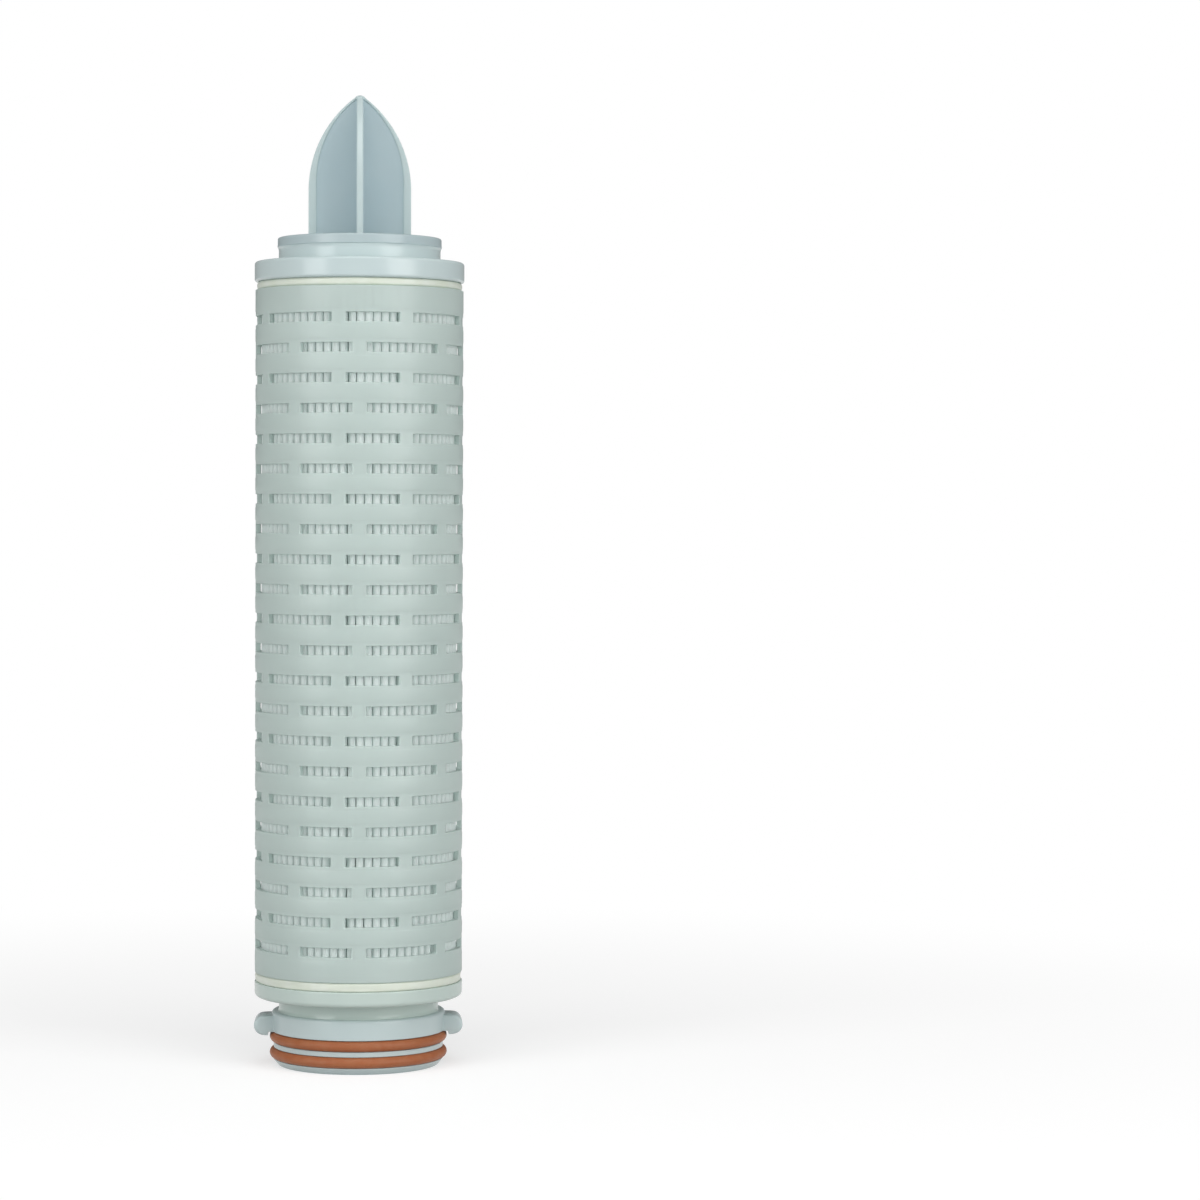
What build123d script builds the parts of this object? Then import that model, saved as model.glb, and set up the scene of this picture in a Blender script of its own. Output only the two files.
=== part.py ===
from build123d import *
from math import atan2, cos, floor, hypot, pi, radians, sin
import os

# Pleated filter cartridge with a locating fin and a double O-ring spigot.
# Millimetres. +Z runs from the spigot's end up to the fin's tip, the bayonet
# lugs point along X, and the origin is the centre of the spigot's end face.

# Spigot adapter
land_diameter = 56.4
groove_depth = 2.25
end_land_height = 2.2
middle_land_height = 1.7
end_taper_height = 1.9
end_taper_depth = 1.6
collar_step = 0.6
collar_height = 6.7
collar_round = 0.9
bore_skin = 1.6
groove_skin = 1.75
bore_lead_in = 0.6

# O-rings
o_ring_section = 3.53
groove_play = 0.17
seal_seat = 0.02

# Steel ring that stiffens the spigot
ring_thickness = 1.5
ring_length = 15.0
ring_play = 0.05

# Bayonet lugs
lug_overhang = 0.15
lug_height = 6.4
lug_width = 12.0
lug_drop = 1.1
lug_corner = 2.4
o_ring_relief = 0.5

# Bottom end cap
neck_step = 1.7
neck_height = 4.9
bottom_flange_height = 5.1
bottom_flange_overhang = 0.05
bottom_web = 4.0
bottom_flange_round = 1.4

# Fused polypropylene that the pleats, cage and core stand in
bottom_seal_height = 3.0
bottom_seal_inset = 0.25
top_seal_height = 2.6
top_seal_inset = 0.6
seal_bevel = 0.5

# Outer cage
cage_diameter = 69.0
cage_wall = 1.8
cage_length = 226.4
cage_edge_round = 0.35

# Slots of the cage: each ring of slots alternates narrow and wide ones
slot_height = 3.0
slot_pitch = 9.83
slot_top_margin = 10.2
slot_bottom_margin = 9.0
slot_pairs = 4
slot_rib_angle = 8.0
narrow_slot_angle = 30.0
first_ring_angle = -82.5
second_ring_angle = -109.0

# Pleated media, from the upstream side inwards
outer_fleece_thickness = 0.26
membrane_thickness = 0.14
inner_fleece_thickness = 0.22
layer_play = 0.01
crest_spacing = 0.19
crest_flat = 0.24
crest_steps = 4
valley_opening = 0.08
pleat_spacing = 0.22
crest_angle = -89.5
cage_play = 0.3

# Inner core
core_bore = 29.0
core_wall = 3.0
core_play = 0.2
window_height = 12.0
window_pitch = 18.5
window_columns = 8
window_rib_width = 4.2

# Top end cap
top_flange_height = 6.7
top_flange_overhang = 0.25
top_flange_round = 0.8
top_web = 4.0
top_boss_diameter = 53.6
top_boss_height = 4.8
top_boss_wall = 3.8

# Locating fin
fin_disc_overhang = 0.35
fin_disc_height = 3.2
fin_disc_round = 0.6
fin_spigot_depth = 2.0
fin_spigot_wall = 2.5
fin_spigot_play = 0.05
fin_height = 47.5
fin_width = 34.0
fin_shoulder_height = 15.8
fin_tip_width = 3.4
fin_rim_thickness = 2.0
fin_web_thickness = 1.3
fin_rim_width = 2.5
fin_tip_rim_width = 1.6
fin_foot_flare = 0.6

# Heights of the joints between the stacked pieces
groove_width = o_ring_section + groove_play
lower_groove_z = end_land_height
upper_groove_z = lower_groove_z + groove_width + middle_land_height
collar_z = upper_groove_z + groove_width
adapter_top_z = collar_z + collar_height
bottom_flange_z = adapter_top_z + neck_height
bottom_cap_top_z = bottom_flange_z + bottom_flange_height
cage_bottom_z = bottom_cap_top_z + bottom_seal_height
cage_top_z = cage_bottom_z + cage_length
top_cap_z = cage_top_z + top_seal_height
top_flange_z = top_cap_z + top_flange_height
fin_disc_z = top_flange_z + top_boss_height
fin_z = fin_disc_z + fin_disc_height

# Radii that several pieces share
land_radius = land_diameter / 2
groove_radius = land_radius - groove_depth
ring_outer_radius = groove_radius - groove_skin - ring_play
ring_inner_radius = ring_outer_radius - ring_thickness
bore_radius = ring_inner_radius - ring_play - bore_skin
collar_radius = land_radius + collar_step
neck_radius = land_radius - neck_step
core_bore_radius = core_bore / 2
core_radius = core_bore_radius + core_wall
cage_radius = cage_diameter / 2
cage_bore_radius = cage_radius - cage_wall
top_boss_radius = top_boss_diameter / 2
cap_recess_radius = top_boss_radius - top_boss_wall


# A turned piece: a half section of (radius, height) corners, with some of
# them rounded, swept about the axis.
def turned(corners, rounds=()):
    section = make_face(Polyline(*[(r, 0, z) for r, z in corners], close=True))
    for radius, height, size in rounds:
        corner = section.vertices().sort_by_distance((radius, 0, height))[0]
        section = fillet(corner, size)
    return revolve(section, Axis.Z, 360)


# A flat ring sector in the XY plane, centred on one angle in degrees
def ring_sector(inner, outer, middle, size):
    start = middle - size / 2
    outside = CenterArc((0, 0), outer, start, size)
    inside = CenterArc((0, 0), inner, start, size)
    sides = Line(inside @ 0, outside @ 0) + Line(inside @ 1, outside @ 1)
    return make_face(outside + inside + sides)


def o_ring(groove_z):
    middle_radius = groove_radius + seal_seat + o_ring_section / 2
    middle_z = groove_z + groove_width / 2
    return Pos(0, 0, middle_z) * Torus(middle_radius, o_ring_section / 2)


# Steel ring, dropped into a slot that opens at the adapter's top face
def support_ring():
    floor_z = adapter_top_z - ring_play - ring_length
    section = [
        (ring_inner_radius, floor_z),
        (ring_outer_radius, floor_z),
        (ring_outer_radius, floor_z + ring_length),
        (ring_inner_radius, floor_z + ring_length),
    ]
    return turned(section)


# One tongue of the bayonet, level with the cage, with a full round nose and
# rounded side edges. Its underside is turned away round the upper O-ring.
def bayonet_lug():
    reach = cage_radius + lug_overhang
    nose = reach - lug_height / 2
    root = ring_outer_radius + ring_play + groove_skin / 2
    relief = groove_radius + seal_seat + o_ring_section + o_ring_relief
    low_z = collar_z - lug_drop
    middle_z = low_z + lug_height / 2
    top_z = low_z + lug_height
    outline = Polyline((nose, low_z), (root, low_z), (root, top_z), (nose, top_z))
    outline += ThreePointArc((nose, top_z), (reach, middle_z), (nose, low_z))
    tongue = extrude(Plane.XZ * make_face(outline), lug_width / 2, both=True)
    tongue -= Pos(0, 0, collar_z - lug_height / 2) * Cylinder(relief, lug_height)
    plan = Pos((root + reach) / 2, 0, middle_z) * Box(reach - root, lug_width, 2 * lug_height)
    tip_edges = plan.edges().filter_by(Axis.Z).group_by(Axis.X)[-1]
    return tongue & fillet(tip_edges, lug_corner)


# Spigot with two O-ring grooves, a collar and the two lugs
def spigot_adapter():
    slot_inner = ring_inner_radius - ring_play
    slot_outer = ring_outer_radius + ring_play
    slot_floor = adapter_top_z - ring_play - ring_length
    section = [
        (bore_radius, bore_lead_in),
        (bore_radius + bore_lead_in, 0),
        (land_radius - end_taper_depth, 0),
        (land_radius, end_taper_height),
        (land_radius, lower_groove_z),
        (groove_radius, lower_groove_z),
        (groove_radius, lower_groove_z + groove_width),
        (land_radius, lower_groove_z + groove_width),
        (land_radius, upper_groove_z),
        (groove_radius, upper_groove_z),
        (groove_radius, collar_z),
        (collar_radius, collar_z),
        (collar_radius, adapter_top_z),
        (slot_outer, adapter_top_z),
        (slot_outer, slot_floor),
        (slot_inner, slot_floor),
        (slot_inner, adapter_top_z),
        (bore_radius, adapter_top_z),
    ]
    body = turned(section, [(collar_radius, adapter_top_z, collar_round)])
    lug = bayonet_lug()
    return body + lug + Rot(0, 0, 180) * lug


# Open end cap: a flange under the pleats and a neck that the adapter is welded to
def bottom_end_cap():
    flange_radius = cage_radius + bottom_flange_overhang
    web_z = bottom_cap_top_z - bottom_web
    section = [
        (core_bore_radius, bottom_cap_top_z),
        (flange_radius, bottom_cap_top_z),
        (flange_radius, bottom_flange_z),
        (neck_radius, bottom_flange_z),
        (neck_radius, adapter_top_z),
        (bore_radius, adapter_top_z),
        (bore_radius, web_z),
        (core_bore_radius, web_z),
    ]
    rounds = [(flange_radius, bottom_flange_z, bottom_flange_round)]
    return turned(section, rounds)


# Fused layer with bevelled rim edges, as half section corners
def seal_section(inner, rim, low_z, top_z):
    return [
        (inner, low_z),
        (rim - seal_bevel, low_z),
        (rim, low_z + seal_bevel),
        (rim, top_z - seal_bevel),
        (rim - seal_bevel, top_z),
        (inner, top_z),
    ]


# Fused ring between the open cap and the lower ends of cage, pleats and core
def bottom_weld_seal():
    rim = cage_radius - bottom_seal_inset
    return turned(seal_section(core_bore_radius, rim, bottom_cap_top_z, cage_bottom_z))


# Fused disc between the closed cap and the upper ends
def top_weld_seal():
    rim = cage_radius - top_seal_inset
    return turned(seal_section(0, rim, cage_top_z, top_cap_z))


# The slots of one ring, cut as sectors through the wall
def slot_ring(narrow_middle):
    period = 360 / slot_pairs
    wide_slot_angle = period - narrow_slot_angle - 2 * slot_rib_angle
    wide_middle = narrow_middle + period / 2
    inner = cage_bore_radius - cage_play / 2
    outer = cage_radius + cage_wall
    sectors = Sketch()
    for pair in range(slot_pairs):
        turn = pair * period
        sectors += ring_sector(inner, outer, narrow_middle + turn, narrow_slot_angle)
        sectors += ring_sector(inner, outer, wide_middle + turn, wide_slot_angle)
    return extrude(sectors, slot_height / 2, both=True)


def outer_cage():
    wall = [
        (cage_bore_radius, cage_bottom_z),
        (cage_radius, cage_bottom_z),
        (cage_radius, cage_top_z),
        (cage_bore_radius, cage_top_z),
    ]
    rounds = [(cage_radius, cage_top_z, cage_edge_round)]
    tube = turned(wall, rounds)
    first_z = cage_top_z - slot_top_margin
    spaces = (cage_length - slot_top_margin - slot_bottom_margin) / slot_pitch
    rings = [slot_ring(first_ring_angle), slot_ring(second_ring_angle)]
    levels = [first_z - row * slot_pitch for row in range(floor(spaces) + 1)]
    cuts = [Pos(0, 0, level) * rings[row % 2] for row, level in enumerate(levels)]
    return tube - cuts


# Media pack. Every face between layers is an offset of the pack's middle
# surface, which runs straight from each outer fold to the next inner fold.
pack_thickness = outer_fleece_thickness + membrane_thickness + inner_fleece_thickness
crest_radius = cage_bore_radius - cage_play
valley_radius = core_radius + core_play
valley_width = 2 * pack_thickness + valley_opening
pleat_count = floor(2 * pi * valley_radius / (valley_width + pleat_spacing))
half_pitch = pi / pleat_count

# The crests roll over as wide as the space between their neighbours lets them
crest_opening = 2 * half_pitch * crest_radius - 2 * pack_thickness - crest_spacing
crest_roll = (crest_opening - crest_flat) / 2 + pack_thickness


# Corner points of one offset face, in order around the axis. A positive
# offset is on the outer, upstream side of the middle surface. The rolls of the
# crest's layers share one centre, so that every layer keeps its thickness.
def pleat_outline(offset):
    crest_side = (pack_thickness + crest_opening) / 2
    valley_side = (pack_thickness + valley_opening) / 2
    end_r = valley_radius * cos(half_pitch) + valley_side * sin(half_pitch)
    end_t = valley_radius * sin(half_pitch) - valley_side * cos(half_pitch)
    run_r = end_r - crest_radius
    run_t = end_t - crest_side
    length = hypot(run_r, run_t)
    normal_r = run_t / length
    normal_t = -run_r / length
    line_r = crest_radius + offset * normal_r
    line_t = crest_side + offset * normal_t
    root_level = valley_radius + pack_thickness / 2 + offset
    slope = cos(half_pitch) * run_r + sin(half_pitch) * run_t
    level = cos(half_pitch) * line_r + sin(half_pitch) * line_t
    step = (root_level - level) / slope
    root = (line_r + step * run_r, line_t + step * run_t)
    roll = crest_roll - pack_thickness / 2 + offset
    centre_r = crest_radius - crest_roll
    centre_t = crest_side + (pack_thickness / 2 - crest_roll + crest_roll * normal_r) / normal_t
    half_pleat = []
    for number in range(crest_steps + 1):
        turn = atan2(normal_t, normal_r) * number / crest_steps
        half_pleat.append((centre_r + roll * cos(turn), centre_t + roll * sin(turn)))
    half_pleat.append(root)
    corners = [(r, -t) for r, t in reversed(half_pleat)] + half_pleat
    points = []
    for pleat in range(pleat_count):
        angle = radians(crest_angle) + 2 * half_pitch * pleat
        for r, t in corners:
            points.append((r * cos(angle) - t * sin(angle), r * sin(angle) + t * cos(angle)))
    return points


# A folded layer between two offsets, standing between the two seals
def pleated_layer(outer_offset, inner_offset):
    outside = make_face(Polyline(*pleat_outline(outer_offset), close=True))
    inside = make_face(Polyline(*pleat_outline(inner_offset), close=True))
    return Pos(0, 0, cage_bottom_z) * extrude(outside - inside, cage_length)


def outer_support_fleece():
    outer = pack_thickness / 2
    return pleated_layer(outer, outer - outer_fleece_thickness + layer_play)


def filter_membrane():
    outer = pack_thickness / 2 - outer_fleece_thickness
    return pleated_layer(outer, outer - membrane_thickness + layer_play)


def inner_support_fleece():
    inner = -pack_thickness / 2
    return pleated_layer(inner + inner_fleece_thickness, inner)


# Perforated tube that carries the pleats against the pressure from outside
def inner_core():
    wall = [
        (core_bore_radius, cage_bottom_z),
        (core_radius, cage_bottom_z),
        (core_radius, cage_top_z),
        (core_bore_radius, cage_top_z),
    ]
    rows = floor((cage_length - window_pitch) / window_pitch) + 1
    first_z = cage_bottom_z + (cage_length - (rows - 1) * window_pitch) / 2
    rib_angle = 360 * window_rib_width / (2 * pi * core_radius)
    window_angle = 360 / window_columns - rib_angle
    row = Sketch()
    for column in range(window_columns):
        middle = column * 360 / window_columns
        row += ring_sector(core_bore_radius - core_wall, core_radius + core_play, middle, window_angle)
    windows = extrude(row, window_height / 2, both=True)
    cuts = [Pos(0, 0, first_z + number * window_pitch) * windows for number in range(rows)]
    return turned(wall) - cuts


# Closed end cap: a flange over the pleats and a hollow boss for the fin
def top_end_cap():
    flange_radius = cage_radius + top_flange_overhang
    recess_z = top_cap_z + top_web
    section = [
        (0, top_cap_z),
        (flange_radius, top_cap_z),
        (flange_radius, top_flange_z),
        (top_boss_radius, top_flange_z),
        (top_boss_radius, fin_disc_z),
        (cap_recess_radius, fin_disc_z),
        (cap_recess_radius, recess_z),
        (0, recess_z),
    ]
    rounds = [
        (flange_radius, top_flange_z, top_flange_round),
        (flange_radius, top_cap_z, top_flange_round),
    ]
    return turned(section, rounds)


# Upright outline of a fin blade: straight sides up to the shoulder, then an
# arc to each side of a blunt tip
def fin_outline(half_width, shoulder_z, tip_z, half_tip):
    rise = tip_z - shoulder_z
    run = half_width - half_tip
    arc_radius = (run**2 + rise**2) / (2 * run)
    side_z = shoulder_z + rise / 2
    side_x = half_width - arc_radius + (arc_radius**2 - (rise / 2) ** 2) ** 0.5
    feet = [(-half_width, fin_z), (half_width, fin_z)]
    lines = Polyline((-half_width, shoulder_z), *feet, (half_width, shoulder_z))
    lines += ThreePointArc((half_width, shoulder_z), (side_x, side_z), (half_tip, tip_z))
    lines += ThreePointArc((-half_width, shoulder_z), (-side_x, side_z), (-half_tip, tip_z))
    crown = ThreePointArc((half_tip, tip_z), (0, tip_z + half_tip / 2), (-half_tip, tip_z))
    return Plane.XZ * make_face(lines + crown)


# One blade, with a thicker rim around a thin web
def fin_blade():
    half_width = fin_width / 2
    half_tip = fin_tip_width / 2
    shoulder_z = fin_z + fin_shoulder_height
    tip_z = fin_z + fin_height - half_tip / 2
    outline = fin_outline(half_width, shoulder_z, tip_z, half_tip)
    blade = extrude(outline, fin_rim_thickness / 2, both=True)
    web_width = half_width - fin_rim_width
    web_tip = half_tip * web_width / half_width
    web = fin_outline(web_width, shoulder_z - fin_rim_width, tip_z - fin_tip_rim_width, web_tip)
    pocket = extrude(web, fin_rim_thickness, both=True)
    pocket -= extrude(web, fin_web_thickness / 2, both=True)
    wide = half_width + fin_foot_flare
    level = fin_z + fin_foot_flare
    corners = [(-wide, fin_z), (wide, fin_z), (half_width, level), (-half_width, level)]
    foot = make_face(Polyline(*corners, close=True))
    return blade - pocket + extrude(Plane.XZ * foot, fin_web_thickness / 2, both=True)


# Cross-shaped fin on the disc that closes the end cap's boss
def locating_fin():
    disc_radius = top_boss_radius + fin_disc_overhang
    spigot_radius = cap_recess_radius - fin_spigot_play
    spigot_bore = spigot_radius - fin_spigot_wall
    section = [
        (0, fin_disc_z),
        (spigot_bore, fin_disc_z),
        (spigot_bore, fin_disc_z - fin_spigot_depth),
        (spigot_radius, fin_disc_z - fin_spigot_depth),
        (spigot_radius, fin_disc_z),
        (disc_radius, fin_disc_z),
        (disc_radius, fin_z),
        (0, fin_z),
    ]
    disc = turned(section, [(disc_radius, fin_z, fin_disc_round)])
    blade = fin_blade()
    return disc + blade + Rot(0, 0, 90) * blade


pieces = {
    "spigot_adapter": spigot_adapter(),
    "support_ring": support_ring(),
    "lower_o_ring": o_ring(lower_groove_z),
    "upper_o_ring": o_ring(upper_groove_z),
    "bottom_end_cap": bottom_end_cap(),
    "bottom_weld_seal": bottom_weld_seal(),
    "outer_cage": outer_cage(),
    "outer_support_fleece": outer_support_fleece(),
    "filter_membrane": filter_membrane(),
    "inner_support_fleece": inner_support_fleece(),
    "inner_core": inner_core(),
    "top_weld_seal": top_weld_seal(),
    "top_end_cap": top_end_cap(),
    "locating_fin": locating_fin(),
}

os.makedirs("parts", exist_ok=True)
for name, piece in pieces.items():
    export_step(piece, f"parts/{name}.step")
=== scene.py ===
import math

import bmesh
import bpy
from mathutils import Matrix, Vector, noise


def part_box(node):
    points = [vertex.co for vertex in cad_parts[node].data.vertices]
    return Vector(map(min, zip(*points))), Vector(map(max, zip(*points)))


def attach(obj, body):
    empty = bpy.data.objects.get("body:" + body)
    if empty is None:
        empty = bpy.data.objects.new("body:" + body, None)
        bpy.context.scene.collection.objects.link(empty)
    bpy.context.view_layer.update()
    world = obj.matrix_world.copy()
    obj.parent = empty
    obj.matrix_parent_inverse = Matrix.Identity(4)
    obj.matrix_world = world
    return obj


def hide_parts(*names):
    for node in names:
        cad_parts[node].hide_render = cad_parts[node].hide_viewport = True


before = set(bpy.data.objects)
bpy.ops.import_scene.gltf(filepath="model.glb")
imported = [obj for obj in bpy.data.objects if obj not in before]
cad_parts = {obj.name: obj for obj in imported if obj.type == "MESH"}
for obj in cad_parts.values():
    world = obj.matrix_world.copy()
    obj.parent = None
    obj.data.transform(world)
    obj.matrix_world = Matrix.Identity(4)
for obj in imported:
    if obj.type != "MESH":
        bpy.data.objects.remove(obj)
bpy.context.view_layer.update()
mm = 0.001


# Tools for nodes and meshes

def addNode(tree, kind, settings=None, links=None):
    node = tree.nodes.new(kind)
    for name, value in (settings or {}).items():
        if isinstance(name, int) or name in node.inputs:
            node.inputs[name].default_value = value
        else:
            setattr(node, name, value)
    for name, source in (links or {}).items():
        tree.links.new(source, node.inputs[name])
    return node


# sRGB hex to linear RGBA
def hexColour(text):
    values = [int(text[i:i + 2], 16) / 255 for i in (1, 3, 5)]
    linear = [v / 12.92 if v <= 0.04045 else ((v + 0.055) / 1.055) ** 2.4 for v in values]
    return (*linear, 1.0)


# Texture scale for a pattern whose features are this many millimetres across
def perSize(millimetres):
    return 1 / (millimetres * mm)


def smoothStep(low, high, value):
    t = min(1.0, max(0.0, (value - low) / (high - low)))
    return t * t * (3 - 2 * t)


# Soft bump of height 1 around a place
def bell(value, middle, width):
    return math.exp(-((value - middle) / width) ** 2)


# Noise that closes on itself around the axis; about `waves` lumps per turn
def ringNoise(angle, height, waves, heightScale, seed=0.0):
    r = waves / (2 * math.pi)
    point = (r * math.cos(angle) + seed, r * math.sin(angle) - seed, height * heightScale + seed)
    return noise.noise(Vector(point))


def newObject(name, vertices, faces, smoothAngle=40):
    mesh = bpy.data.meshes.new(name)
    mesh.from_pydata(vertices, [], faces)
    mesh.update()
    obj = bpy.data.objects.new(name, mesh)
    bpy.context.scene.collection.objects.link(obj)
    work = bmesh.new()
    work.from_mesh(mesh)
    bmesh.ops.remove_doubles(work, verts=work.verts, dist=1e-7)
    bmesh.ops.dissolve_degenerate(work, edges=work.edges, dist=1e-8)
    bmesh.ops.recalc_face_normals(work, faces=work.faces)
    work.to_mesh(mesh)
    work.free()
    shadeSmooth(obj, smoothAngle)
    return obj


def shadeSmooth(obj, smoothAngle):
    obj.data.polygons.foreach_set("use_smooth", [True] * len(obj.data.polygons))
    obj.data.set_sharp_from_angle(angle=math.radians(smoothAngle))


# Profile corners are (radius, height, rounding) in metres. Rounded corners
# become arcs, and long runs are split so that noise can bend them.
def roundedProfile(corners, longest=1.5 * mm, closed=True):
    points = []
    count = len(corners)
    for i, (r, z, rounding) in enumerate(corners):
        here = Vector((r, z))
        if rounding <= 0 or (not closed and i in (0, count - 1)):
            points.append(here)
            continue
        before = (Vector(corners[i - 1][:2]) - here).normalized()
        after = (Vector(corners[(i + 1) % count][:2]) - here).normalized()
        opening = before.angle(after)
        reach = rounding / math.tan(opening / 2)
        centre = here + (before + after).normalized() * rounding / math.sin(opening / 2)
        start = here + before * reach - centre
        end = here + after * reach - centre
        turn = start.angle_signed(end)
        steps = max(2, round(abs(turn) / math.radians(15)))
        for step in range(steps + 1):
            a = -turn * step / steps
            c, s = math.cos(a), math.sin(a)
            points.append(centre + Vector((start.x * c - start.y * s, start.x * s + start.y * c)))
    fine = []
    pairs = len(points) if closed else len(points) - 1
    for i in range(pairs):
        a, b = points[i], points[(i + 1) % len(points)]
        parts = max(1, math.ceil((b - a).length / longest))
        fine += [a.lerp(b, k / parts) for k in range(parts)]
    if not closed:
        fine.append(points[-1])
    return fine


# Turned piece: the profile goes round the axis in `columns` steps, and
# wobble(angle, r, z) moves each point outwards and upwards.
def turnedPiece(name, corners, columns=192, longest=1.5 * mm, closed=True, wobble=None, smoothAngle=40):
    profile = roundedProfile(corners, longest, closed)
    vertices = []
    for column in range(columns):
        angle = 2 * math.pi * column / columns
        c, s = math.cos(angle), math.sin(angle)
        for point in profile:
            r, z = point
            if wobble:
                out, up = wobble(angle, r, z)
                r, z = max(0.0, r + out), z + up
            vertices.append((r * c, r * s, z))
    n = len(profile)
    rows = n if closed else n - 1
    faces = []
    for column in range(columns):
        a, b = column * n, (column + 1) % columns * n
        for row in range(rows):
            nextRow = (row + 1) % n
            faces.append((a + row, b + row, b + nextRow, a + nextRow))
    return newObject(name, vertices, faces, smoothAngle)


# Adds a closed solid to another one with a boolean, and removes the helper
def joinSolid(obj, helper, smoothAngle=40):
    cut = obj.modifiers.new("join", "BOOLEAN")
    cut.operation = "UNION"
    cut.solver = "EXACT"
    cut.object = helper
    bpy.context.view_layer.update()
    depsgraph = bpy.context.evaluated_depsgraph_get()
    mesh = bpy.data.meshes.new_from_object(obj.evaluated_get(depsgraph))
    obj.modifiers.clear()
    obj.data = mesh
    bpy.data.objects.remove(helper)
    shadeSmooth(obj, smoothAngle)
    return obj


def placePiece(obj, node, material):
    obj.data.materials.clear()
    obj.data.materials.append(material)
    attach(obj, "root")
    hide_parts(node)
    return obj


# Materials

def newMaterial(name):
    material = bpy.data.materials.new(name)
    material.use_nodes = True
    tree = material.node_tree
    tree.nodes.clear()
    return material, tree


# Bump from a pattern of a real depth in millimetres
def bumpOf(tree, heightOutput, depth):
    bump = addNode(tree, "ShaderNodeBump", {"Strength": 1.0, "Distance": depth * mm}, {"Height": heightOutput})
    return bump.outputs["Normal"]


# Polypropylene moulded without pigment: milky, lets light through, and has a
# satin skin with faint flow streaks and handling marks. Thick parts look paler.
def mouldedPolypropylene(name, look):
    material, tree = newMaterial(name)
    place = addNode(tree, "ShaderNodeTexCoord").outputs["Object"]
    cloud = addNode(tree, "ShaderNodeTexNoise", {"Scale": perSize(look["cloudSize"]), "Detail": 3.0}, {"Vector": place})
    tint = addNode(tree, "ShaderNodeValToRGB", links={"Fac": cloud.outputs["Fac"]})
    tint.color_ramp.elements[0].position = 0.3
    tint.color_ramp.elements[0].color = hexColour(look["cloudColour"])
    tint.color_ramp.elements[1].position = 0.7
    tint.color_ramp.elements[1].color = hexColour(look["colour"])
    colour = tint.outputs["Color"]
    if "thickColour" in look:
        thick = addNode(tree, "ShaderNodeAttribute", {"attribute_name": "thick"})
        colour = addNode(tree, "ShaderNodeMixRGB", {"Color2": hexColour(look["thickColour"])}, {
            "Fac": thick.outputs["Fac"], "Color1": colour,
        }).outputs["Color"]
    skin = addNode(tree, "ShaderNodeTexNoise", {"Scale": perSize(look["grainSize"]), "Detail": 4.0}, {"Vector": place})
    handling = addNode(tree, "ShaderNodeTexNoise", {"Scale": perSize(9.0), "Detail": 5.0, "Roughness": 0.6}, {"Vector": place})
    rough = addNode(tree, "ShaderNodeMapRange", {
        "From Min": 0.3, "From Max": 0.7, "To Min": look["roughness"] - 0.02, "To Max": look["roughness"] + 0.03,
    }, {"Value": handling.outputs["Fac"]})
    normal = bumpOf(tree, skin.outputs["Fac"], look["grainDepth"])
    surface = addNode(tree, "ShaderNodeBsdfPrincipled", {
        "IOR": 1.49, "Transmission Weight": look["clear"],
    }, {"Base Color": colour, "Roughness": rough.outputs["Result"], "Normal": normal})
    milky = addNode(tree, "ShaderNodeBsdfTranslucent", links={"Color": colour})
    mixed = addNode(tree, "ShaderNodeMixShader", {0: look["milky"]}, {1: surface.outputs["BSDF"], 2: milky.outputs["BSDF"]})
    sheer = addNode(tree, "ShaderNodeBsdfRefraction", {"IOR": 1.49, "Roughness": 0.12}, {"Color": colour})
    whole = addNode(tree, "ShaderNodeMixShader", {0: look["sheer"]}, {1: mixed.outputs["Shader"], 2: sheer.outputs["BSDF"]})
    if "bore" in look:
        # A tube's wall scatters the light once, at its outer face
        flat = addNode(tree, "ShaderNodeVectorMath", {"operation": "MULTIPLY", 1: (1.0, 1.0, 0.0)}, {0: place})
        reach = addNode(tree, "ShaderNodeVectorMath", {"operation": "LENGTH"}, {0: flat.outputs["Vector"]})
        inside = addNode(tree, "ShaderNodeMath", {"operation": "LESS_THAN", 1: (look["bore"] + 0.05) * mm}, {
            0: reach.outputs["Value"]})
        bare = addNode(tree, "ShaderNodeBsdfPrincipled", {
            "Base Color": (1.0, 1.0, 1.0, 1.0), "Transmission Weight": 1.0, "IOR": 1.49, "Roughness": 0.12,
        })
        whole = addNode(tree, "ShaderNodeMixShader", links={
            0: inside.outputs["Value"], 1: whole.outputs["Shader"], 2: bare.outputs["BSDF"]})
    addNode(tree, "ShaderNodeOutputMaterial", links={"Surface": whole.outputs["Shader"]})
    return material


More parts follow.
